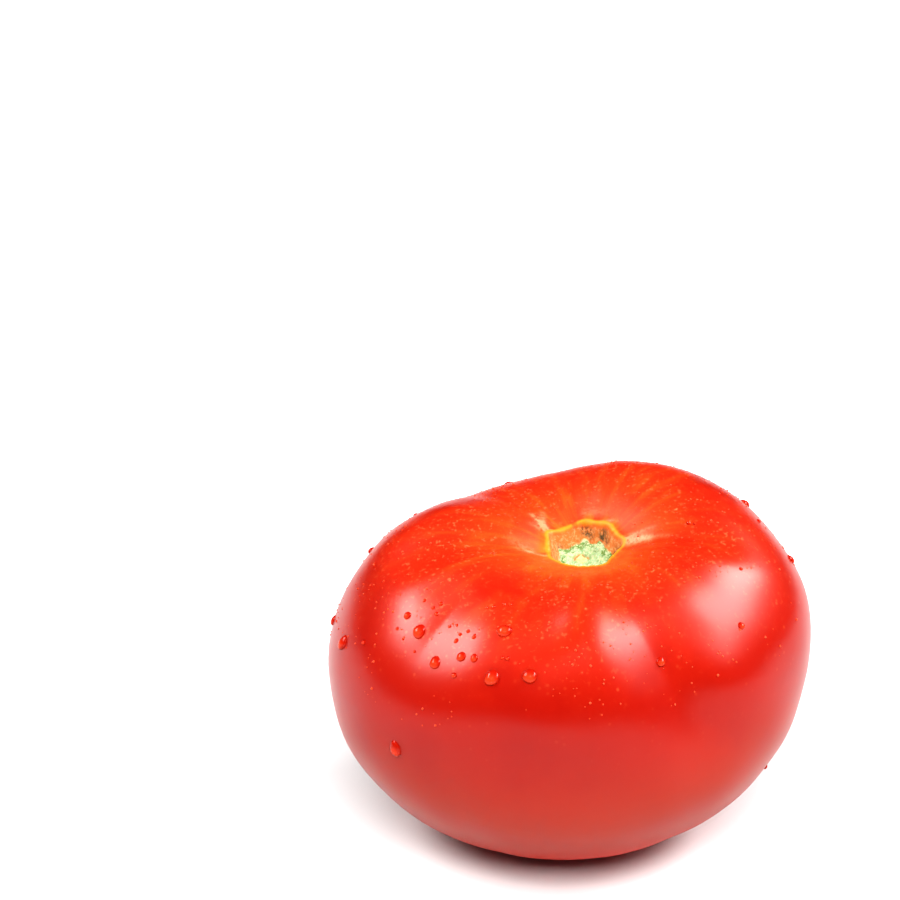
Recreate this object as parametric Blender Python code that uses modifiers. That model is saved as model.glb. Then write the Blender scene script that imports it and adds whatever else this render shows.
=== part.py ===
"""A ripe slicing tomato, picked, with its calyx gone: one solid, standing on the flat spot of its base.

The fruit is a lopsided dome over a deeper bowl. Shallow grooves between its seed chambers part the
shoulders into lobes and run up into the stem hollow, where a corky scar sits in a small pit.
Metres, +Z up. The stem's own axis leans a little towards -Y, the front, and towards -X.
Azimuths count from the front, +X being 90 degrees. Polar angles count down from the stem's axis.
"""

import math

import bmesh
import bpy
import numpy as np
from mathutils import Euler, Vector

MM = 0.001

# The dome and the bowl, which meet at the widest line.
LONG_DIAMETER = 84.9 * MM
SHORT_DIAMETER = 78.8 * MM
LONG_AXIS_AZIMUTH = math.radians(113)
DOME_HEIGHT = 31.1 * MM
BOWL_DEPTH = 33.8 * MM
FULLNESS = 2.16  # 2 is an ellipse, and more is squarer

# How far the plan is from an ellipse, and how much higher the back shoulder stands than the front one.
THREE_SIDED = 0.011
THREE_SIDED_AZIMUTH = math.radians(30)
BACK_SHOULDER_SLOPE = 0.08

# The stem hollow: a wide dish, deepest in front of the stem, and a narrow funnel round the stem.
DISH_DEPTH = 9.8 * MM
DISH_RADIUS = 18.5 * MM
DISH_FORWARD = 2.8 * MM
FUNNEL_DEPTH = 2.7 * MM
FUNNEL_RADIUS = 8.5 * MM

# The stem stood a little to the right of the fruit's middle and forward of it. The skin round the stem
# is drawn along with it, less and less out to the shoulders.
STEM_RIGHT = 3.5 * MM
STEM_FORWARD = 1.2 * MM
STEM_DRAW_RADIUS = 30 * MM

# The scar that the stem left: a pit with a low lip of skin round it. Its edge is a circle, drawn out to
# a corner where each sepal tore off. Each corner has its azimuth and its reach.
SCAR_RADIUS = 6.1 * MM
SCAR_DEPTH = 1.5 * MM
SCAR_WALL = 1.8 * MM
SCAR_CORNER_WIDTH = math.radians(13)
SCAR_CORNERS = (
    (math.radians(-119), 0.8 * MM),
    (math.radians(180), 0.5 * MM),
    (math.radians(139), 0.4 * MM),
    (math.radians(88), 0.9 * MM),
    (math.radians(27), 1.4 * MM),
    (math.radians(-55), 0.7 * MM),
)
LIP_HEIGHT = 0.35 * MM
LIP_WIDTH = 1.0 * MM

# The grooves between the seed chambers. Each has its azimuth, its half width, the polar angle of its
# middle and its reach along the meridian, in degrees; its depth, or how far it swells out if below zero;
# how round its bottom is, 1 for a crease and 2 for a hollow; and its turn in azimuth per degree down.
GROOVES = (
    (-75, 12, 36, 20, 1.8 * MM, 2, 0),
    (-39, 14, 57, 20, 1.4 * MM, 1.85, -0.1),
    (-53, 8, 50, 10, 0.4 * MM, 2.4, -0.3),
    (-21, 14, 38, 17, 1.4 * MM, 2.3, 0.6),
    (3, 10, 51, 14, -1.1 * MM, 2, 0),
    (28, 14, 73, 24, 3.4 * MM, 1.75, 0.3),
    (47, 21, 62, 18, 1.9 * MM, 2.4, 0.3),
    (79, 11, 36, 18, 1.8 * MM, 2, 0),
    (80, 20, 79, 20, -1.3 * MM, 2, 0),
    (-169, 26, 40, 24, 2.2 * MM, 2, 0),
    (-136, 22, 40, 24, 1.8 * MM, 2, 0),
)

# The blossom end: a shallow dimple at the foot of the axis.
BLOSSOM_DEPTH = 0.5 * MM
BLOSSOM_RADIUS = 3.5 * MM

# How the fruit stands: the lean of its axis, and how much of the base the flat spot takes off.
LEAN_FORWARD = math.radians(2)
LEAN_LEFT = math.radians(3.5)
FLAT_SPOT_DEPTH = 0.8 * MM

# The hollow, the blossom end and the stem's draw fade out towards the widest line, over this cosine.
EQUATOR_FADE = 0.3

# The cage: the meridians and rings of the sphere it starts as, and how far they crowd to the scar.
MERIDIANS = 48
RINGS = 24
RING_CROWDING = 0.7
SMOOTHING_LEVELS = 1

SKIN_COLOUR = (0.80, 0.045, 0.012, 1.0)
SKIN_ROUGHNESS = 0.28


def clear_scene():
    for old in list(bpy.data.objects):
        bpy.data.objects.remove(old)


def bump(distance, radius):
    """A round hump, 1 high in its middle and falling off over the radius."""
    return np.exp(-((distance / radius) ** 2))


def smooth_step(value):
    """0 below 0 and 1 above 1, with no kink between."""
    value = np.clip(value, 0, 1)
    return value * value * (3 - 2 * value)


def turn_between(azimuth, other):
    """The angle from one azimuth to another, from minus half a turn to half a turn."""
    return (azimuth - other + math.pi) % (2 * math.pi) - math.pi


def plan_radius(azimuth):
    """The radius of the widest line: an ellipse with three faint sides."""
    along = np.cos(azimuth - LONG_AXIS_AZIMUTH) / (LONG_DIAMETER / 2)
    across = np.sin(azimuth - LONG_AXIS_AZIMUTH) / (SHORT_DIAMETER / 2)
    ellipse = 1 / np.hypot(along, across)
    return ellipse * (1 + THREE_SIDED * np.cos(3 * (azimuth - THREE_SIDED_AZIMUTH)))


def groove_depth(azimuth, polar):
    """How deep the grooves are cut into the body there, each one fading along its meridian."""
    depth = np.zeros_like(azimuth)
    for meridian, half_width, middle, reach, deepest, roundness, turn in GROOVES:
        down = np.degrees(polar) - middle
        aside = np.abs(turn_between(azimuth, np.radians(meridian + turn * down)))
        across = np.exp(-((np.degrees(aside) / half_width) ** roundness))
        depth += deepest * across * bump(down, reach)
    return depth


def scar_edge_radius(azimuth):
    """The scar's edge: a circle with a hump at each corner."""
    radius = np.full_like(azimuth, SCAR_RADIUS)
    for corner, reach in SCAR_CORNERS:
        radius += reach * bump(turn_between(azimuth, corner), SCAR_CORNER_WIDTH)
    return radius


def stem_hollow(radius, azimuth):
    """How far the top is pressed in at that distance and azimuth from the stem."""
    from_dish = np.hypot(radius * np.sin(azimuth), DISH_FORWARD - radius * np.cos(azimuth))
    hollow = DISH_DEPTH * bump(from_dish, DISH_RADIUS) + FUNNEL_DEPTH * bump(radius, FUNNEL_RADIUS)
    past_edge = radius - scar_edge_radius(azimuth)
    pit = SCAR_DEPTH * smooth_step(-past_edge / SCAR_WALL)
    return hollow + pit - LIP_HEIGHT * bump(past_edge, LIP_WIDTH)


def fruit_surface(azimuth, polar):
    """Points of the skin, about the centre of the widest line, the stem's axis standing upright."""
    sine, cosine = np.sin(polar), np.cos(polar)
    height = np.where(cosine > 0, DOME_HEIGHT, BOWL_DEPTH)
    reach = (sine / plan_radius(azimuth)) ** FULLNESS + (np.abs(cosine) / height) ** FULLNESS
    distance = reach ** (-1 / FULLNESS) - groove_depth(azimuth, polar)
    radius = distance * sine
    level = distance * cosine
    share_up = np.clip(level / DOME_HEIGHT, 0, 1)
    level = level - BACK_SHOULDER_SLOPE * radius * np.cos(azimuth) * share_up
    upper, lower = smooth_step(cosine / EQUATOR_FADE), smooth_step(-cosine / EQUATOR_FADE)
    top = upper * stem_hollow(radius, azimuth)
    foot = lower * BLOSSOM_DEPTH * bump(radius, BLOSSOM_RADIUS)
    drawn = upper * bump(radius, STEM_DRAW_RADIUS)
    right = radius * np.sin(azimuth) + STEM_RIGHT * drawn
    forward = radius * np.cos(azimuth) + STEM_FORWARD * drawn
    return np.stack([right, -forward, level - top + foot], axis=-1)


def crowded(polar):
    """Moves the sphere's evenly spaced rings up towards the scar, and leaves both poles in place."""
    return polar - RING_CROWDING * np.sin(polar) * bump(polar, math.pi / 2)


def make_fruit(parts):
    """The fruit: a coarse cage, made from a sphere that fruit_surface moulds, and then smoothed."""
    mesh = bpy.data.meshes.new("tomato")
    sphere = bmesh.new()
    bmesh.ops.create_uvsphere(sphere, u_segments=MERIDIANS, v_segments=RINGS, radius=1.0)
    sphere.to_mesh(mesh)
    sphere.free()

    directions = np.empty(len(mesh.vertices) * 3)
    mesh.vertices.foreach_get("co", directions)
    x, y, z = directions.reshape(-1, 3).T
    polar = crowded(np.arccos(np.clip(z, -1, 1)))
    skin = fruit_surface(np.arctan2(x, -y), polar)
    mesh.vertices.foreach_set("co", skin.ravel())
    mesh.update()
    mesh.shade_smooth()

    fruit = bpy.data.objects.new("tomato", mesh)
    parts.objects.link(fruit)
    fruit.data.materials.append(skin_material())
    smooth = fruit.modifiers.new("smooth", "SUBSURF")
    smooth.levels = SMOOTHING_LEVELS
    smooth.render_levels = SMOOTHING_LEVELS
    return fruit


def stand_up(fruit):
    """Leans the fruit and sets it down, so that the floor takes the flat spot off its lowest lobe."""
    lean = Euler((LEAN_FORWARD, -LEAN_LEFT, 0)).to_matrix()
    corners = [lean @ vertex.co for vertex in fruit.data.vertices]
    low = Vector(min(corner[axis] for corner in corners) for axis in range(3))
    high = Vector(max(corner[axis] for corner in corners) for axis in range(3))
    middle = (low + high) / 2
    fruit.rotation_euler = lean.to_euler()
    fruit.location = (-middle.x, -middle.y, -low.z - FLAT_SPOT_DEPTH)


def cut_flat_spot(fruit, cutters):
    """Takes off what would reach below the floor."""
    side = 2 * LONG_DIAMETER
    cube = bmesh.new()
    bmesh.ops.create_cube(cube, size=side)
    mesh = bpy.data.meshes.new("floor_cutter")
    cube.to_mesh(mesh)
    cube.free()
    cutter = bpy.data.objects.new("floor_cutter", mesh)
    cutter.location = (0, 0, -side / 2)
    cutter.hide_render = True
    cutter.display_type = "WIRE"
    cutters.objects.link(cutter)
    cut = fruit.modifiers.new("flat_spot", "BOOLEAN")
    cut.operation = "DIFFERENCE"
    cut.object = cutter


def skin_material():
    material = bpy.data.materials.new("tomato_skin")
    material.use_nodes = True
    shader = material.node_tree.nodes["Principled BSDF"]
    shader.inputs["Base Color"].default_value = SKIN_COLOUR
    shader.inputs["Roughness"].default_value = SKIN_ROUGHNESS
    shader.inputs["Metallic"].default_value = 0.0
    material.diffuse_color = SKIN_COLOUR
    return material


def make_collection(name):
    collection = bpy.data.collections.new(name)
    bpy.context.scene.collection.children.link(collection)
    return collection


clear_scene()
tomato = make_fruit(make_collection("tomato"))
stand_up(tomato)
cut_flat_spot(tomato, make_collection("cutters"))
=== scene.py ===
"""A ripe slicing tomato, rinsed and still wet, on a white table among large soft lights."""

import math

import bpy
import numpy as np
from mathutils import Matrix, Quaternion, Vector


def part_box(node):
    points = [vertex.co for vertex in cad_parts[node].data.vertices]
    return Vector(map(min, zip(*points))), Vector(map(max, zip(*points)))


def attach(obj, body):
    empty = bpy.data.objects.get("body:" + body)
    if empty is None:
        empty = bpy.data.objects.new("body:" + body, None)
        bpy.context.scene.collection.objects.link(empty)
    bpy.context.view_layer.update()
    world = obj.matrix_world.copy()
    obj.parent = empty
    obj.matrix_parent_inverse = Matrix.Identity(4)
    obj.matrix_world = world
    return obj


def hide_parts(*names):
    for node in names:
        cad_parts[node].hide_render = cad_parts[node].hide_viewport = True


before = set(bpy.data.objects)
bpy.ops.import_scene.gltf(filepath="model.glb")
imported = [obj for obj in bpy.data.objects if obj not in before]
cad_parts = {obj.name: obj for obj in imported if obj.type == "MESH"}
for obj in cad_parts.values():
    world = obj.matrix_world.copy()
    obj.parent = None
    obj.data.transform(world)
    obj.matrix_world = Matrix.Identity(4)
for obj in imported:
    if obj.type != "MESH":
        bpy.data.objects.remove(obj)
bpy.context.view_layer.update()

# ------------------------------------------------------------------ The fruit
# It grew as one piece: flesh swollen into lobes over its seed chambers, under a thin waxy skin that
# closes in a corky scar where the stem broke off, and in a corky speck at the blossom end.

# Lengths are in millimetres. Azimuths count from the front, with +X at 90 degrees, and polar angles
# count down from the stem. The shape is the CAD solid's own, with finer relief.
MM = 0.001
LONG_DIAMETER, SHORT_DIAMETER, LONG_AXIS_AZIMUTH = 84.1, 78.0, 113
DOME_HEIGHT, BOWL_DEPTH, FULLNESS = 30.9, 33.6, 2.16
THREE_SIDED, THREE_SIDED_AZIMUTH = 0.011, 30
BACK_SHOULDER_SLOPE = 0.08
DISH_DEPTH, DISH_RADIUS, DISH_FORWARD = 9.8, 18.5, 2.8
FUNNEL_DEPTH, FUNNEL_RADIUS = 2.7, 8.5
STEM_RIGHT, STEM_FORWARD, STEM_DRAW_RADIUS = 3.5, 1.2, 30
LEAN_FORWARD, LEAN_LEFT, FLAT_SPOT_DEPTH = 2, 3.5, 0.8
BLOSSOM_DEPTH, BLOSSOM_RADIUS, BLOSSOM_TIP_HEIGHT, BLOSSOM_TIP_RADIUS = 0.5, 3.5, 0.3, 0.7
# The hollow, the dimple and the stem's draw fade out towards the widest line, over this cosine.
EQUATOR_FADE = 0.3

# Each groove: azimuth, half width, polar angle of its middle, reach along the meridian, depth, how
# round its bottom is, from 1 for a crease to 2 and over for a hollow, and its turn in azimuth per
# degree down. A depth below zero swells out.
GROOVES = (
    (-75, 12, 36, 20, 1.8, 2, 0),
    (-39, 14, 57, 20, 1.4, 1.85, -0.1),
    (-43, 3.5, 60, 10, 0.24, 1.5, 0),
    (-53, 8, 50, 10, 0.4, 2.4, -0.3),
    (-21, 14, 38, 17, 1.4, 2.3, 0.6),
    (3, 10, 51, 14, -1.1, 2, 0),
    (28, 14, 73, 24, 3.4, 1.75, 0.3),
    (47, 21, 62, 18, 1.9, 2.4, 0.3),
    (79, 11, 36, 18, 1.8, 2, 0),
    (80, 20, 79, 20, -1.3, 2, 0),
    (-169, 26, 40, 24, 2.2, 2, 0),
    (-136, 22, 40, 24, 1.8, 2, 0),
)

# The scar: a pit with a low lip of skin round it, drawn out to a corner where each sepal tore off.
# Each corner: azimuth and reach.
SCAR_RADIUS, SCAR_WALL, SCAR_DEPTH, CORNER_WIDTH = 6.0, 1.6, 1.5, 13
SCAR_CORNERS = ((-119, 0.8), (180, 0.5), (139, 0.4), (88, 0.9), (27, 1.8), (-55, 0.7))
LIP_HEIGHT, LIP_WIDTH = 0.4, 0.9

# The torn pits in the scar's wall: azimuth, how far in from the edge, and depth against the deepest.
TORN = (
    (177, 0.6, 1.0), (166, 1.0, 0.5), (143, 0.9, 0.9), (130, 1.3, 0.6),
    (93, 1.5, 0.8), (-126, 1.6, 0.6), (32, 1.2, 0.6),
)
PIT_DEPTH, PIT_WIDTH_DEGREES, PIT_HEIGHT = 0.55, 7, 0.45
# The furrows down the wall: how far in from the edge they are deepest and how far they reach from
# there. Half the way round counts as FURROW_SPAN long.
FURROW_DEPTH, FURROW_INWARD, FURROW_REACH = 0.14, 0.9, 0.8
FURROW_SPAN, FURROW_WAVE, FURROW_SEED = 26, 1.6, 3
# The lumps on the scar's floor: height, wavelength and seed. The floor starts and is full that far in.
LUMPS = ((0.20, 1.9, 5), (0.11, 0.8, 6), (0.05, 0.4, 7))
FLOOR_INWARD, FLOOR_FADE = 1.0, 0.8
# The bundle of the stem's own strands, a little to the left and behind, with a moat round it.
STRANDS_LEFT, STRANDS_BACK, STRANDS_HEIGHT, STRANDS_RADIUS = 0.6, 0.8, 0.4, 0.8
MOAT_DEPTH, MOAT_RADIUS, MOAT_WIDTH = 0.25, 1.3, 0.35

# The skin's unevenness: the height, wavelength and seed of its ribs, on a fruit RIB_SPAN in radius, and
# of its dents, on one of radius 1. It rises from one polar angle, over some degrees, and falls to
# nothing at another.
RIB_HEIGHT, RIB_SPAN, RIB_WAVE, RIB_SEED = 0.035, 30, 9, 8
DENT_HEIGHT, DENT_WAVE, DENT_SEED = 0.10, 0.55, 9
UNEVEN_FROM, UNEVEN_RISE, UNEVEN_TO, UNEVEN_FALL = 14, 14, 165, 30

# The grid of the skin. Its rings crowd at the scar and, less, on the shoulders: how much more of them
# there are, and over how many degrees.
MERIDIANS, RINGS = 440, 212
SCAR_CROWD, SCAR_CROWD_REACH, SHOULDER_CROWD, SHOULDER_CROWD_REACH = 5, 13, 0.5, 60


def bump(distance, radius):
    """A round hump, 1 high in its middle: e to the power of minus (distance over radius) squared."""
    return np.exp(-((distance / radius) ** 2))


def aside(azimuth, degrees):
    """The angle in degrees from a meridian, by the short way round."""
    return (np.degrees(azimuth) - degrees + 180) % 360 - 180


def ripples(x, y, wavelength, seed, waves=14):
    """Lumps from about -1 to 1: the sum of plane waves near one length, over the root of their number.

    The heading, phase and stretch of each are drawn from the seed.
    """
    draw = np.random.default_rng(seed)
    total = 0
    for heading, phase, stretch in draw.uniform((0, 0, 0.7), (2 * math.pi, 2 * math.pi, 1.5), (waves, 3)):
        along = x * math.cos(heading) + y * math.sin(heading)
        total = total + np.sin(2 * math.pi * along / (wavelength * stretch) + phase)
    return total / math.sqrt(waves)


def smooth_step(value):
    """0 below 0 and 1 above 1, with no kink: 3 v squared minus 2 v cubed between."""
    value = np.clip(value, 0, 1)
    return value * value * (3 - 2 * value)


def plan_radius(azimuth):
    """The widest line: an ellipse, times 1 plus a small three-sided wave."""
    turn = azimuth - math.radians(LONG_AXIS_AZIMUTH)
    ellipse = 1 / np.hypot(np.cos(turn) / (LONG_DIAMETER / 2), np.sin(turn) / (SHORT_DIAMETER / 2))
    return ellipse * (1 + THREE_SIDED * np.cos(3 * (azimuth - math.radians(THREE_SIDED_AZIMUTH))))


def groove_depth(azimuth, polar):
    """The sum over the grooves of depth times e to minus (distance over width) to the power of its
    roundness, times a hump along the meridian."""
    depth = 0
    for meridian, half_width, middle, reach, deepest, roundness, turn in GROOVES:
        down = np.degrees(polar) - middle
        across = np.exp(-(np.abs(aside(azimuth, meridian + turn * down)) / half_width) ** roundness)
        depth = depth + deepest * across * bump(down, reach)
    return depth


def past_scar(radius, azimuth):
    """How far outside the scar's edge a point is: radius minus a circle with a hump at each corner."""
    corners = sum(reach * bump(aside(azimuth, degrees), CORNER_WIDTH) for degrees, reach in SCAR_CORNERS)
    return radius - SCAR_RADIUS - corners


def stem_hollow(radius, azimuth):
    """A wide dish, a funnel and the scar's pit, less the lip: how far the top is pressed in."""
    from_dish = np.hypot(radius * np.sin(azimuth), DISH_FORWARD - radius * np.cos(azimuth))
    hollow = DISH_DEPTH * bump(from_dish, DISH_RADIUS) + FUNNEL_DEPTH * bump(radius, FUNNEL_RADIUS)
    past = past_scar(radius, azimuth)
    return hollow + SCAR_DEPTH * smooth_step(-past / SCAR_WALL) - LIP_HEIGHT * bump(past, LIP_WIDTH)


def torn_pits(radius, azimuth):
    """From 0 to 1 in the deepest: for each pit, a hump across it times a hump down the wall."""
    past = past_scar(radius, azimuth)
    return sum(share * bump(aside(azimuth, degrees), PIT_WIDTH_DEGREES) * bump(past + inward, PIT_HEIGHT)
               for degrees, inward, share in TORN)


def cork_relief(radius, azimuth):
    """The scar's torn surface: furrows down its wall, torn pits, and lumps and strands on its floor."""
    past = past_scar(radius, azimuth)
    x, y = radius * np.sin(azimuth), radius * np.cos(azimuth)
    furrow_wave = ripples(FURROW_SPAN * azimuth / math.pi, 0 * past, FURROW_WAVE, FURROW_SEED)
    furrows = FURROW_DEPTH * bump(past + FURROW_INWARD, FURROW_REACH) * furrow_wave
    floor = smooth_step((-past - FLOOR_INWARD) / FLOOR_FADE)
    lumps = sum(height * ripples(x, y, wavelength, seed) for height, wavelength, seed in LUMPS)
    from_strands = np.hypot(x + STRANDS_LEFT, y + STRANDS_BACK)
    moat = MOAT_DEPTH * bump(from_strands - MOAT_RADIUS, MOAT_WIDTH)
    bundle = STRANDS_HEIGHT * bump(from_strands, STRANDS_RADIUS) - moat
    return furrows - PIT_DEPTH * torn_pits(radius, azimuth) + floor * (lumps + bundle)


def skin_relief(azimuth, polar):
    """The skin's unevenness: faint ribs that run with the meridians, and broad low dents."""
    rise = smooth_step((np.degrees(polar) - UNEVEN_FROM) / UNEVEN_RISE)
    fade = rise * smooth_step((UNEVEN_TO - np.degrees(polar)) / UNEVEN_FALL)
    x, y, z = np.sin(azimuth) * np.sin(polar), np.cos(azimuth) * np.sin(polar), np.cos(polar)
    round_by, across_by = RIB_SPAN * np.sin(azimuth) + 4 * z, RIB_SPAN * np.cos(azimuth)
    ribs = RIB_HEIGHT * ripples(round_by, across_by, RIB_WAVE, RIB_SEED)
    dents = DENT_HEIGHT * ripples(x + 0.6 * z, y - 0.8 * z, DENT_WAVE, DENT_SEED)
    return fade * (ribs + dents)


def fruit_surface(azimuth, polar):
    """Points of the skin about the fruit's middle, the stem upright.

    Body: 1 over distance to the power n is (sin polar over plan radius) to n plus (cos polar over
    height) to n. The grooves are taken off that distance, and the skin's unevenness is added. The top
    then slopes, sinks in the stem hollow with its torn cork, and is drawn sideways with the stem; the
    foot has a shallow dimple with a small tip in it.
    """
    sine, cosine = np.sin(polar), np.cos(polar)
    height = np.where(cosine > 0, DOME_HEIGHT, BOWL_DEPTH)
    reach = (sine / plan_radius(azimuth)) ** FULLNESS + (np.abs(cosine) / height) ** FULLNESS
    distance = reach ** (-1 / FULLNESS) - groove_depth(azimuth, polar) + skin_relief(azimuth, polar)
    radius, level = distance * sine, distance * cosine
    share_up = np.clip(level / DOME_HEIGHT, 0, 1)
    level = level - BACK_SHOULDER_SLOPE * radius * np.cos(azimuth) * share_up
    upper, lower = smooth_step(cosine / EQUATOR_FADE), smooth_step(-cosine / EQUATOR_FADE)
    top = upper * (cork_relief(radius, azimuth) - stem_hollow(radius, azimuth))
    tip = BLOSSOM_TIP_HEIGHT * bump(radius, BLOSSOM_TIP_RADIUS)
    foot = lower * (BLOSSOM_DEPTH * bump(radius, BLOSSOM_RADIUS) - tip)
    drawn = upper * bump(radius, STEM_DRAW_RADIUS)
    right = radius * np.sin(azimuth) + STEM_RIGHT * drawn
    forward = radius * np.cos(azimuth) + STEM_FORWARD * drawn
    return np.stack([right, -forward, level + top + foot], axis=-1), radius


def leaned(points):
    """Points turned about X by the lean forward, then about Y by the lean to the left."""
    forward, left = math.radians(LEAN_FORWARD), math.radians(-LEAN_LEFT)
    x, y, z = np.moveaxis(points, -1, 0)
    y, z = y * math.cos(forward) - z * math.sin(forward), y * math.sin(forward) + z * math.cos(forward)
    x, z = x * math.cos(left) + z * math.sin(left), z * math.cos(left) - x * math.sin(left)
    return np.stack([x, y, z], axis=-1)


def settled(level, softness=0.12):
    """Heights with those below the floor pressed up to it.

    Half the sum of the height and the root of (height squared plus softness squared).
    """
    return (level + np.sqrt(level**2 + softness**2)) / 2


def crowded_rings(count):
    """Polar angles from the stem to the foot, closest at the scar, where the relief is finest."""
    fine = np.linspace(0, math.pi, 2000)
    at_scar = SCAR_CROWD * bump(np.degrees(fine), SCAR_CROWD_REACH)
    at_shoulder = SHOULDER_CROWD * bump(np.degrees(fine), SHOULDER_CROWD_REACH)
    share = np.cumsum(1 + at_scar + at_shoulder)
    return np.interp(np.linspace(share[0], share[-1], count), share, fine)


def grid_faces(rings, columns):
    """Quads of a grid closed round its columns, and a fan of triangles at each pole, which come last."""
    ring, column = np.meshgrid(np.arange(rings - 1), np.arange(columns), indexing="ij")
    after = (column + 1) % columns
    quads = np.stack([ring * columns + column, (ring + 1) * columns + column,
                      (ring + 1) * columns + after, ring * columns + after], axis=-1).reshape(-1, 4)
    first = np.arange(columns)
    second = (first + 1) % columns
    last = (rings - 1) * columns
    top, foot = np.full(columns, rings * columns), np.full(columns, rings * columns + 1)
    fans = np.concatenate([np.stack([first, second, top], axis=-1),
                           np.stack([last + second, last + first, foot], axis=-1)])
    return quads, fans


def mesh_order(grids):
    """The points of each shape in the order of its mesh: the inner rings, then one point a pole."""
    bodies = grids[:, 1:-1].reshape(len(grids), -1, *grids.shape[3:])
    return np.concatenate([bodies, grids[:, [0, -1], 0]], axis=1)


def closed_mesh(name, grids):
    """One smooth mesh, in metres, of closed shapes from an array of grids in millimetres.

    The axes are shape, ring, column and coordinate. The first and last rings are a single point each.
    """
    points = mesh_order(grids)
    starts = np.arange(len(grids))[:, None, None] * points.shape[1]
    faces = []
    for polygons in grid_faces(grids.shape[1] - 2, grids.shape[2]):
        faces += (starts + polygons).reshape(-1, polygons.shape[1]).tolist()
    mesh = bpy.data.meshes.new(name)
    mesh.from_pydata(points.reshape(-1, 3) * MM, [], faces)
    mesh.shade_smooth()
    made = bpy.data.objects.new(name, mesh)
    bpy.context.scene.collection.objects.link(made)
    return made


azimuths = np.linspace(-math.pi, math.pi, MERIDIANS, endpoint=False)
grid_polar, grid_azimuth = np.meshgrid(crowded_rings(RINGS + 2), azimuths, indexing="ij")
skin, skin_radius = fruit_surface(grid_azimuth, grid_polar)
skin = leaned(skin)

# It stands as the CAD solid does: on its flat spot, in the middle of its box, and as large as the box
# less a margin.
MARGIN = 0.05
low, high = (np.array(corner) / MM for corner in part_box("tomato"))
shift = -np.append((skin.min((0, 1)) + skin.max((0, 1)))[:2] / 2, skin.min((0, 1))[2] + FLAT_SPOT_DEPTH)


def set_down(points):
    """Points moved over the middle of the floor, with what would be below it pressed up."""
    points = points + shift
    points[..., 2] = settled(points[..., 2])
    return points


skin = set_down(skin)
skin_low, skin_high = skin.min((0, 1)), skin.max((0, 1))
fit = (high - low - 2 * MARGIN) / (skin_high - skin_low)
place = (low + high) / 2 - (skin_low + skin_high) / 2 * fit
skin = skin * fit + place

tomato = closed_mesh("ripe_tomato", skin[None])
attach(tomato, "root")
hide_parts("tomato")

# The pale rays that run out from the scar's corners: azimuth and radius of both ends, half width and
# strength.
RAYS = (
    (-122, 7.0, -131, 11.2, 0.55, 1.9),
    (-127, 8.5, -141, 10.8, 0.5, 0.9),
    (-119, 7.4, -118, 9.6, 0.7, 0.8),
    (90, 7.2, 83, 11.5, 0.8, 1.6),
    (95, 8.2, 92, 12.5, 0.4, 0.6),
    (86, 10.0, 83, 15.5, 0.35, 0.5),
    (-62, 7.2, -73, 9.6, 0.55, 1.1),
    (-74, 9.4, -84, 11.8, 1.0, 0.55),
    (150, 6.4, 139, 7.4, 0.4, 0.7),
    (139, 7.2, 128, 8.2, 0.4, 0.5),
    (176, 8.4, 150, 8.6, 0.8, 0.35),
    (28, 7.2, 25, 8.8, 0.4, 0.35),
)
# How much of its strength a ray loses on its way out.
RAY_LOSS = 0.6


def pale_rays(radius, azimuth):
    """The sum over the rays of strength times a hump across the line between its ends, less far out."""
    here = np.stack([radius * np.sin(azimuth), radius * np.cos(azimuth)], axis=-1)
    total = 0
    for near_azimuth, near_radius, far_azimuth, far_radius, half_width, strength in RAYS:
        near, far = math.radians(near_azimuth), math.radians(far_azimuth)
        start = np.array([math.sin(near), math.cos(near)]) * near_radius
        run = np.array([math.sin(far), math.cos(far)]) * far_radius - start
        share = np.clip(((here - start) @ run) / (run @ run), 0, 1)
        away = np.linalg.norm(here - start - share[..., None] * run, axis=-1)
        total = total + strength * bump(away, half_width) * (1 - RAY_LOSS * share)
    return total


def paint(target, name, values):
    """Stores a value or a vector for each point of a closed mesh, from an array laid out as its grids."""
    vectors = values.ndim == 4
    layer = target.data.attributes.new(name, "FLOAT_VECTOR" if vectors else "FLOAT", "POINT")
    layer.data.foreach_set("vector" if vectors else "value", mesh_order(values).astype(np.float32).ravel())


# What the skin's colours follow: the meridian and the polar angle in degrees, the place about the stem
# in millimetres with how far past the scar's edge it is, the torn pits, and the pale rays. The last
# three are worked out above a polar angle in radians alone, as the foot is near the stem's axis too.
UPPER_PART, FAR_FROM_SCAR = 1.4, 40.0
upper_part = grid_polar < UPPER_PART
past_edge = np.where(upper_part, past_scar(skin_radius, grid_azimuth), FAR_FROM_SCAR)
along_meridian = [np.sin(grid_azimuth), np.cos(grid_azimuth), np.degrees(grid_polar)]
about_stem = [skin_radius * np.sin(grid_azimuth), skin_radius * np.cos(grid_azimuth), past_edge]
paint(tomato, "meridian", np.stack(along_meridian, axis=-1)[None])
paint(tomato, "about_stem", np.stack(about_stem, axis=-1)[None])
paint(tomato, "torn", np.where(upper_part, torn_pits(skin_radius, grid_azimuth), 0)[None])
paint(tomato, "pale_ray", np.where(upper_part, pale_rays(skin_radius, grid_azimuth), 0)[None])


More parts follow.
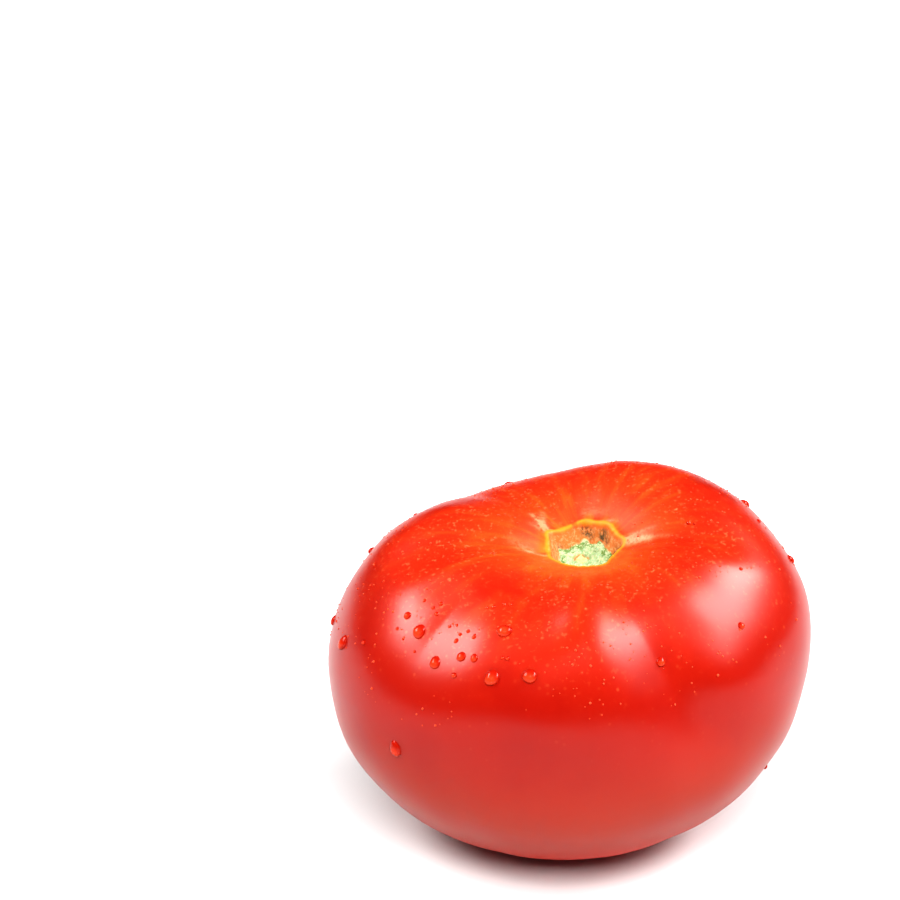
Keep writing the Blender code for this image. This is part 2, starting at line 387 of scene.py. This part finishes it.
class Wire:
    """A socket's value in an expression: each operation adds the Math node that works it out."""

    def __init__(self, tree, socket):
        self.tree, self.socket = tree, socket

    def node(self, kind, settings=None, **values):
        """A new node: its settings first, then its sockets by name or by place, from wires or values."""
        made = self.tree.nodes.new(kind)
        for key, value in (settings or {}).items():
            setattr(made, key, value)
        for key, value in values.items():
            socket = made.inputs[int(key[1:])] if key[0] == "_" else made.inputs[key.replace("_", " ")]
            if isinstance(value, Wire):
                self.tree.links.new(value.socket, socket)
            else:
                socket.default_value = value
        return made

    def out(self, made, name=0):
        return Wire(self.tree, made.outputs[name])

    def maths(self, operation, *values, clamp=False):
        settings = {"operation": operation, "use_clamp": clamp}
        inputs = {f"_{place}": value for place, value in enumerate(values)}
        return self.out(self.node("ShaderNodeMath", settings, **inputs))

    def __add__(self, other):
        return self.maths("ADD", self, other)

    def __radd__(self, other):
        return self.maths("ADD", other, self)

    def __sub__(self, other):
        return self.maths("SUBTRACT", self, other)

    def __rsub__(self, other):
        return self.maths("SUBTRACT", other, self)

    def __mul__(self, other):
        return self.maths("MULTIPLY", self, other)

    def __rmul__(self, other):
        return self.maths("MULTIPLY", other, self)

    def __pow__(self, other):
        return self.maths("POWER", self, other)

    def between(self, low, high):
        """0 at low and 1 at high, smooth between; high may be the lower number."""
        kind = {"interpolation_type": "SMOOTHSTEP"}
        ends = {"From_Min": min(low, high), "From_Max": max(low, high)}
        rising = self.out(self.node("ShaderNodeMapRange", kind, Value=self, **ends))
        return 1 - rising if low > high else rising

    def hump(self, middle, width):
        """1 at the middle, falling to 0 a width away on either side."""
        away = self.maths("ABSOLUTE", self - middle)
        return away.between(width, 0)

    def noise(self, place, scale, detail=2.0, roughness=0.5, distortion=0.0):
        made = self.node("ShaderNodeTexNoise", Vector=place, Scale=scale, Detail=detail,
                         Roughness=roughness, Distortion=distortion)
        return self.out(made, "Fac")

    def attribute(self, name, output):
        return self.out(self.node("ShaderNodeAttribute", {"attribute_name": name}), output)

    def vector(self, x, y, z):
        return self.out(self.node("ShaderNodeCombineXYZ", X=x, Y=y, Z=z))

    def blend(self, under, upper, mask):
        """One colour with another laid over it where the mask is 1."""
        return self.out(self.node("ShaderNodeMix", {"data_type": "RGBA"}, _0=mask, _6=under, _7=upper), 2)

    def over(self, upper, mask):
        return self.blend(self, upper, mask)

    def clamped(self):
        return self.maths("ADD", self, 0.0, clamp=True)


def colour(red, green, blue):
    """A colour with an alpha of 1, from the share of light that it sends back."""
    return (red, green, blue, 1.0)


def new_material(name):
    """An empty material: its Principled shader, and a wire to start expressions with."""
    material = bpy.data.materials.new(name)
    material.use_nodes = True
    shader = material.node_tree.nodes["Principled BSDF"]
    return material, shader, Wire(material.node_tree, None)


def constants(shader, **values):
    """Sets sockets of a shader to fixed values, by name."""
    for name, value in values.items():
        shader.inputs[name.replace("_", " ")].default_value = value


skin_material, shader, wire = new_material("waxy_tomato_skin")
place_on_fruit = wire.out(wire.node("ShaderNodeTexCoord"), "Object")
meridian = wire.node("ShaderNodeSeparateXYZ", Vector=wire.attribute("meridian", "Vector"))
right_turn, front_turn, polar = (wire.out(meridian, axis) for axis in "XYZ")
stem_place = wire.attribute("about_stem", "Vector")
stem = wire.node("ShaderNodeSeparateXYZ", Vector=stem_place)
stem_x, stem_y, past = (wire.out(stem, axis) for axis in "XYZ")

# Ripeness, with painted light and shade: deep red on the sides, painted darker there in part as shade,
# more orange over the shoulders, round the stem and underneath, in clouds and in streaks that run down
# from the stem; a lighter red underneath, in part as painted light; and the brightest red at the foot,
# so that it throws a red glow into the table's shadow. Patterns that follow the place on the fruit
# repeat so many times in a metre.
SIDE_RED_AND_PAINTED_SHADE = colour(0.275, 0.0075, 0.0015)
UNDERSIDE_RED_AND_PAINTED_LIGHT = colour(0.32, 0.018, 0.0012)
FOOT_RED = colour(0.62, 0.016, 0.001)
SHOULDER_RED = colour(0.38, 0.021, 0.0042)
ORANGE = colour(0.43, 0.072, 0.010)
DEEP_RED = colour(0.25, 0.0045, 0.001)
streaks = wire.noise(wire.vector(right_turn * 9, front_turn * 9, polar * 0.05), 1.0, 3.0)
CLOUD_SCALE = 75.0
clouds = wire.noise(place_on_fruit, CLOUD_SCALE, 3.0)
# The sides are painted a darker red, in part as shade, and the underside a lighter red, in part as painted
# light.
skin_colour = wire.blend(SIDE_RED_AND_PAINTED_SHADE, SHOULDER_RED, polar.between(80, 45))
skin_colour = skin_colour.over(UNDERSIDE_RED_AND_PAINTED_LIGHT, polar.between(84, 112))
# The foot is painted the brightest red so that it throws a red glow into the table's shadow.
skin_colour = skin_colour.over(FOOT_RED, polar.between(118, 150))
near_stem = past.between(17, 0) * (0.7 + 0.25 * front_turn)
orange_share = near_stem + streaks.between(0.45, 0.8) * polar.between(70, 30) * 0.7
evenness = clouds.between(0.2, 0.6) + 0.3 * past.between(10, 3)
skin_colour = skin_colour.over(ORANGE, (orange_share * evenness).clamped())
deep_share = clouds.between(0.52, 0.30) * past.between(2, 14) * (0.1 + 0.4 * polar.between(115, 85))
skin_colour = skin_colour.over(DEEP_RED, deep_share)

# Pale specks where the skin breathes, each up to half a millimetre across, on the upper half.
SPECK, SPECK_SCALE, DUST_SCALE = colour(0.52, 0.125, 0.05), 720.0, 1200.0
cells = wire.node("ShaderNodeTexVoronoi", Vector=place_on_fruit, Scale=SPECK_SCALE)
picked = wire.out(wire.node("ShaderNodeSeparateColor", Color=wire.out(cells, "Color")), "Red")
speck = wire.out(cells, "Distance").between(0.30, 0.08) * picked.between(0.45, 0.85)
dust = wire.noise(place_on_fruit, DUST_SCALE, 2.0).between(0.58, 0.72) * polar.between(82, 40)
specks = (0.40 * speck + 0.55 * dust) * polar.between(100, 58) * clouds.between(0.30, 0.6)
skin_colour = skin_colour.over(SPECK, specks)

# Corky cream rays at the scar's corners, broken up along their length.
RAY_CREAM = colour(0.40, 0.20, 0.105)
ray = wire.attribute("pale_ray", "Fac")
ray_grain = wire.noise(stem_place, 1.6, 3.0)
skin_colour = skin_colour.over(RAY_CREAM, (ray * ray_grain.between(0.25, 0.6)).clamped())

# The scar, from its lip inwards: a yellow rim, a torn wall streaked brown and pink, with painted shade
# in its torn pits, and a pale floor with green patches round the cream stump of the stem's own strands.
RIM_YELLOW = colour(0.45, 0.185, 0.014)
WALL_BROWN, WALL_PINK = colour(0.40, 0.130, 0.032), colour(0.46, 0.215, 0.090)
FLOOR_MINT, FLOOR_CREAM = colour(0.25, 0.33, 0.18), colour(0.37, 0.39, 0.24)
FLOOR_GREEN, PAINTED_PIT_SHADE = colour(0.115, 0.185, 0.055), colour(0.085, 0.055, 0.026)
STRAND_YELLOW, STRAND_BROWN = colour(0.42, 0.37, 0.18), colour(0.36, 0.17, 0.05)
rim_break = wire.noise(wire.vector(right_turn * 2.2, front_turn * 2.2, 0.0), 1.0, 3.0)
wall_streaks = wire.noise(wire.vector(right_turn * 8, front_turn * 8, past * 3.5), 1.0, 3.0, 0.7, 0.8)
fibres = wire.noise(stem_place, 2.3, 3.0, 0.6, 1.2)
patches = wire.noise(stem_place, 0.85, 2.0)
torn = wire.attribute("torn", "Fac")
strand_x, strand_y = stem_x + STRANDS_LEFT, stem_y + STRANDS_BACK
from_strands = (strand_x * strand_x + strand_y * strand_y) ** 0.5
wall_colour = wire.blend(WALL_BROWN, WALL_PINK, wall_streaks.between(0.45, 0.62))
# Painted shade in the torn pits, along their fibres.
wall_colour = wall_colour.over(PAINTED_PIT_SHADE, (torn * fibres.between(0.40, 0.54) * 1.5).clamped())
floor_colour = wire.blend(FLOOR_MINT, FLOOR_CREAM, fibres.between(0.42, 0.6))
floor_edge = past.hump(-2.0, 1.5)
greener = (patches.between(0.43, 0.53) * (0.40 + floor_edge) + torn * 1.4) * fibres.between(0.66, 0.46)
floor_colour = floor_colour.over(FLOOR_GREEN, greener.clamped())
floor_colour = floor_colour.over(STRAND_BROWN, from_strands.hump(1.2, 0.4) * strand_y.between(0.2, -0.6))
floor_colour = floor_colour.over(STRAND_YELLOW, from_strands.between(1.1, 0.8))
rim_line = past.hump(0.1, 0.7) * rim_break.between(0.2, 0.45)
rim_glow = 0.5 * past.hump(0.6, 2.0) * rim_break.between(0.45, 0.65)
base = skin_colour.over(RIM_YELLOW, (rim_line + rim_glow).clamped())
base = base.over(wall_colour, past.between(-0.2, -0.6))
base = base.over(floor_colour, (past + 0.5 * patches).between(-1.25, -1.75))
wire.tree.links.new(base.socket, shader.inputs["Base Color"])

# The wax is smooth, duller round the stem and at the foot, and the cork is dull and fibrous.
WAX_ROUGHNESS, STEM_DULLER, CORK_DULLER, FOOT_DULLER = 0.31, 0.16, 0.32, 0.2
roughness = WAX_ROUGHNESS + STEM_DULLER * past.between(8, 2) + CORK_DULLER * past.between(0.2, -0.5)
roughness = roughness + FOOT_DULLER * polar.between(112, 130)
wire.tree.links.new(roughness.socket, shader.inputs["Roughness"])
GRAIN_HEIGHT = 0.06 * MM
cork_grain = wire.node("ShaderNodeBump", Height=fibres * past.between(0, -0.6), Strength=0.5,
                       Distance=GRAIN_HEIGHT)
wire.tree.links.new(wire.out(cork_grain).socket, shader.inputs["Normal"])
LIGHT_REACH = 4 * MM
constants(shader, IOR=1.45, Subsurface_Weight=0.12, Subsurface_Radius=(1.0, 0.22, 0.10),
          Subsurface_Scale=LIGHT_REACH)
tomato.data.materials.append(skin_material)

# ------------------------------------------------------------------ Water
# Rinse water left on the wax: beads that stand up because wax sheds water, a few that have started to
# run, and a fine mist on the shoulders. Each is a drop of clear water that holds to the skin.

# Each bead: azimuth, polar angle, width, and its length down the slope against its width.
BEADS = (
    (-47.5, 62, 2.2, 1.15), (-54, 60, 1.35, 1), (-38, 67.5, 2, 1.1), (-31, 64, 1.6, 1.1),
    (-27, 63.5, 1.3, 1.1), (-31, 69, 1, 1), (-21.5, 54.5, 2.7, 0.85), (-20.5, 67.5, 2.4, 1.15),
    (-10.5, 66, 2.4, 1), (-44, 92.5, 2.3, 1.2), (-71, 76, 2.2, 1.3), (-88, 79, 1.6, 1.2),
    (-62, 71.5, 0.9, 1), (27, 66, 1.6, 1), (55.5, 66.5, 1.3, 1), (69.5, 55, 0.7, 1),
    (68, 115.5, 0.9, 1), (-35, 60.5, 0.75, 1.3), (-35, 58.5, 0.65, 1), (-33, 57, 0.7, 1),
    (-30, 58, 0.75, 1.3), (-38, 56.5, 0.5, 1), (-40, 57.5, 0.65, 1), (-48, 53, 0.8, 1),
    (-49, 55, 0.65, 1), (-53.5, 54.5, 0.65, 1), (-46.5, 56, 0.8, 1), (-54, 64, 0.65, 1),
    (-45.5, 67, 0.5, 1), (-50.5, 65.5, 0.5, 1), (-32.5, 48.5, 0.6, 1), (-30.5, 47.5, 0.7, 1),
    (-27.5, 45.5, 0.6, 1), (-25.5, 45, 0.7, 1), (-19, 62, 0.6, 1), (-17.5, 62, 0.7, 1),
    (89.5, 35, 0.8, 1), (89, 37, 0.6, 1),
    # Round the back and the sides, in the same manner.
    (118, 62, 1.9, 1.1), (126, 70, 1.2, 1), (121, 74, 2.3, 1.15), (140, 58, 1, 1), (163, 66, 2.1, 1.1),
    (171, 73, 1.4, 1), (-158, 60, 2.4, 1), (-150, 68, 1.3, 1), (-131, 63, 1.8, 1.1),
    (-124, 71, 2.2, 1.2), (-117, 57, 0.9, 1), (-104, 66, 1.5, 1), (96, 70, 1.6, 1.1), (104, 60, 0.9, 1),
    (150, 88, 2, 1.2), (-140, 94, 1.7, 1.2),
)
# The rings and columns of a drop's mesh.
BEAD_RINGS, BEAD_COLUMNS = 14, 28
MIST_RINGS, MIST_COLUMNS = 5, 8
# A drop's shape, in half widths: the height of its dome, how far its bottom reaches below its middle,
# how deep its middle is in the skin, how far its crown sags on an upright wall, and how far its outline
# wavers, twice and three times a turn.
DOME, BOTTOM, SUNK, SAG = 0.76, 0.3, 0.10, 0.3
TWICE_A_TURN, THRICE_A_TURN = 0.05, 0.03
# The skin's slope under a drop is taken over this angle, in radians.
SLOPE_STEP = 0.004


def on_skin(azimuth, polar):
    """Where the skin is at that azimuth and polar angle, as the fruit stands."""
    return set_down(leaned(fruit_surface(azimuth, polar)[0])) * fit + place


def unit(vectors):
    return vectors / np.linalg.norm(vectors, axis=-1, keepdims=True)


def drop_grid(rings, columns):
    """The tilt from the crown and the turn about it, in radians, of each point of a drop."""
    return np.meshgrid(np.linspace(0, math.pi, rings), np.arange(columns) * 2 * math.pi / columns,
                       indexing="ij")


def water_drops(azimuth, polar, width, stretch, rings, columns, seed):
    """Closed domes that stand on the skin, one for each place.

    Each is an ellipsoid about a point just inside the skin: as wide as given, longer down the slope by
    the stretch, and 0.33 of its width high, with its bottom flattened. Its outline wavers by a few
    hundredths, and its crown sags down the slope, more where that is steeper.
    """
    azimuth, polar = np.radians(azimuth), np.radians(polar)
    foot = on_skin(azimuth, polar)
    down = unit(on_skin(azimuth, polar + SLOPE_STEP) - foot)
    side = on_skin(azimuth + SLOPE_STEP, polar) - foot
    out = unit(np.cross(down, side))
    side = np.cross(out, down)
    draw = np.random.default_rng(seed)
    turns = draw.uniform(0, 2 * math.pi, (2, len(azimuth), 1, 1))
    tilt, turn = drop_grid(rings, columns)
    wavering = (1 + TWICE_A_TURN * np.cos(2 * turn + turns[0])
                + THRICE_A_TURN * np.cos(3 * turn + turns[1]))
    half = (width / 2)[:, None, None]
    aside_by = half * wavering * np.sin(tilt) * np.cos(turn)
    down_by = half * wavering * np.sin(tilt) * np.sin(turn) * np.asarray(stretch)[:, None, None]
    out_by = half * (np.where(np.cos(tilt) > 0, DOME, BOTTOM) * np.cos(tilt) - SUNK)
    down_by = down_by + SAG * half * np.clip(np.cos(tilt), 0, 1) * -down[:, 2][:, None, None]
    axes = [vector[:, None, None, :] for vector in (side, down, out)]
    lengths = [distance[..., None] for distance in (aside_by, down_by, out_by)]
    return foot[:, None, None, :] + sum(axis * length for axis, length in zip(axes, lengths))


BEAD_SEED, MIST_SEED, PATCH_SEED, MIST_SHAPE_SEED = 21, 22, 23, 24
beads = np.array(BEADS).T
water_beads = closed_mesh("water_beads", water_drops(*beads, BEAD_RINGS, BEAD_COLUMNS, BEAD_SEED))

# The mist settles in patches, on the upper half alone, and most on the shoulders. Drops fall at random
# between two polar angles, none settles where the wave of the patches is below PATCH_BARE, and the
# first MIST_DROPS that settle are kept. Most have nearly the least width.
MIST_DROPS, MIST_TRIES = 950, 6000
MIST_TOP, MIST_FOOT, MIST_MIDDLE, MIST_REACH = 16, 84, 52, 30
MIST_LEAST_WIDTH, MIST_ADDED_WIDTH = 0.22, 0.33
PATCH_SPAN, PATCH_PER_DEGREE, PATCH_WAVE, PATCH_BARE = 3, 0.08, 2.2, -0.9
draw = np.random.default_rng(MIST_SEED)
mist_azimuth = draw.uniform(-180, 180, MIST_TRIES)
mist_polar = draw.uniform(MIST_TOP, MIST_FOOT, MIST_TRIES)
mist_width = MIST_LEAST_WIDTH + MIST_ADDED_WIDTH * draw.uniform(0, 1, MIST_TRIES) ** 3
turned = np.radians(mist_azimuth)
patch_down = PATCH_SPAN * np.cos(turned) + PATCH_PER_DEGREE * mist_polar
patch = ripples(PATCH_SPAN * np.sin(turned), patch_down, PATCH_WAVE, PATCH_SEED)
chance = smooth_step((patch - PATCH_BARE) / 2) * bump(mist_polar - MIST_MIDDLE, MIST_REACH)
settles = draw.uniform(0, 1, MIST_TRIES) < chance
chosen = np.flatnonzero(settles)[:MIST_DROPS]
mist = np.stack([mist_azimuth, mist_polar, mist_width, np.ones(MIST_TRIES)])[:, chosen]
water_mist = closed_mesh("water_mist", water_drops(*mist, MIST_RINGS, MIST_COLUMNS, MIST_SHAPE_SEED))

# So small a drop is painted as the red below would show through it: painted shade round its edge, and
# painted light let through on its downhill side, that many half widths from its middle.
DROP_PAINTED_SHADE, DROP_PAINTED_GLOW, GLOW_DOWNHILL = colour(0.28, 0.011, 0.0035), colour(0.47, 0.04, 0.012), 0.4
WATER_IOR = 1.33
water_material, water_shader, water_wire = new_material("rinse_water")
on_drop = water_wire.node("ShaderNodeSeparateXYZ", Vector=water_wire.attribute("on_drop", "Vector"))
across, downhill = (water_wire.out(on_drop, axis) for axis in "XY")
from_glow = (across * across + (downhill - GLOW_DOWNHILL) ** 2) ** 0.5
# Painted shade at the drop's edge, painted light on its downhill side.
drop_colour = water_wire.blend(DROP_PAINTED_SHADE, DROP_PAINTED_GLOW, from_glow.between(1.2, 0.35))
water_wire.tree.links.new(drop_colour.socket, water_shader.inputs["Base Color"])
constants(water_shader, Roughness=0.17, IOR=WATER_IOR)
tilt, turn = drop_grid(BEAD_RINGS, BEAD_COLUMNS)
on_dome = np.stack([np.sin(tilt) * np.cos(turn), np.sin(tilt) * np.sin(turn), np.cos(tilt)], axis=-1)
paint(water_beads, "on_drop", np.broadcast_to(on_dome, (len(BEADS), BEAD_RINGS, BEAD_COLUMNS, 3)))
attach(water_beads, "root")
water_beads.data.materials.append(water_material)

# The mist is too fine to show a dark edge; its glitter is painted in as a pale colour all over.
MIST_PAINTED_GLINT = colour(0.46, 0.062, 0.024)
mist_material, mist_shader, _ = new_material("rinse_mist")
constants(mist_shader, Base_Color=MIST_PAINTED_GLINT, Roughness=0.4, IOR=WATER_IOR)
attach(water_mist, "root")
water_mist.data.materials.append(mist_material)

# ------------------------------------------------------------------ Table, lights and camera
# A white table top without an edge in view, a broad soft light high at each side of the fruit, a third
# in front, and a white room. Nothing here is part of the fruit.

TABLE_HALF = 1.5
TABLE_WHITE = colour(0.56, 0.56, 0.56)
table_mesh = bpy.data.meshes.new("table_top")
table_mesh.from_pydata([(-TABLE_HALF, -TABLE_HALF, 0), (TABLE_HALF, -TABLE_HALF, 0),
                        (TABLE_HALF, TABLE_HALF, 0), (-TABLE_HALF, TABLE_HALF, 0)], [], [(0, 1, 2, 3)])
table_top = bpy.data.objects.new("table_top", table_mesh)
bpy.context.scene.collection.objects.link(table_top)
table_material, table_shader, _ = new_material("white_table")
constants(table_shader, Base_Color=TABLE_WHITE, Roughness=0.9, Specular_IOR_Level=0.1)
table_mesh.materials.append(table_material)

# In metres from the fruit.
LAMP_DISTANCE = 3


def softbox(name, azimuth, elevation, roll, width, height, glow):
    """A lit cloth that faces the fruit: its angles in degrees, its size in metres and its radiance."""
    lamp = bpy.data.lights.new(name, "AREA")
    lamp.shape, lamp.size, lamp.size_y = "RECTANGLE", width, height
    lamp.energy = glow * math.pi * width * height
    light = bpy.data.objects.new(name, lamp)
    bpy.context.scene.collection.objects.link(light)
    turn, rise = math.radians(azimuth), math.radians(elevation)
    towards = Vector((math.sin(turn) * math.cos(rise), -math.cos(turn) * math.cos(rise), math.sin(rise)))
    rolled = Quaternion((0, 0, 1), math.radians(roll))
    light.rotation_euler = (towards.to_track_quat("Z", "Y") @ rolled).to_euler()
    light.location = towards * LAMP_DISTANCE
    return light


softbox("left_softbox", -95, 44, -20, 1.85, 0.85, 12.6)
softbox("right_softbox", 101, 42, -3, 2.4, 0.85, 14.5)
# The sheet in front lights the skin and the table, and is kept out of the skin's gloss.
softbox("front_sheet", 5, 48, 0, 2.3, 1.3, 14.0).visible_glossy = False

# The room looks white, adds next to nothing to the gloss, and softens the shadows, mostly from overhead.
ROOM_GLOW, SIDE_FILL, OVERHEAD_FILL = 0.02, 0.06, 0.32
world = bpy.data.worlds.new("studio")
bpy.context.scene.world = world
world.use_nodes = True
background = world.node_tree.nodes["Background"]
sky = Wire(world.node_tree, None)
light_path = sky.node("ShaderNodeLightPath")
seen, scattered = sky.out(light_path, "Is Camera Ray"), sky.out(light_path, "Is Diffuse Ray")
direction = sky.node("ShaderNodeSeparateXYZ", Vector=sky.out(sky.node("ShaderNodeTexCoord"), "Generated"))
overhead = sky.out(direction, "Z").between(0, 0.9)
strength = ROOM_GLOW + seen + scattered * (SIDE_FILL + OVERHEAD_FILL * overhead)
world.node_tree.links.new(strength.socket, background.inputs["Strength"])
background.inputs["Color"].default_value = colour(1.0, 1.0, 1.0)

# The camera looks down on the fruit from in front.
CAMERA_PLACE = Vector((0, -393.9, 224.7)) * MM
CAMERA_AIM = Vector((-21.5, 16.4, 63.2)) * MM
camera_data = bpy.data.cameras.new("camera")
camera_data.lens = 100
camera = bpy.data.objects.new("camera", camera_data)
bpy.context.scene.collection.objects.link(camera)
bpy.context.scene.camera = camera
camera.location = CAMERA_PLACE
camera.rotation_euler = (CAMERA_AIM - CAMERA_PLACE).to_track_quat("-Z", "Y").to_euler()
bpy.context.scene.view_settings.view_transform = "Standard"
bpy.context.scene.view_settings.look = "High Contrast"
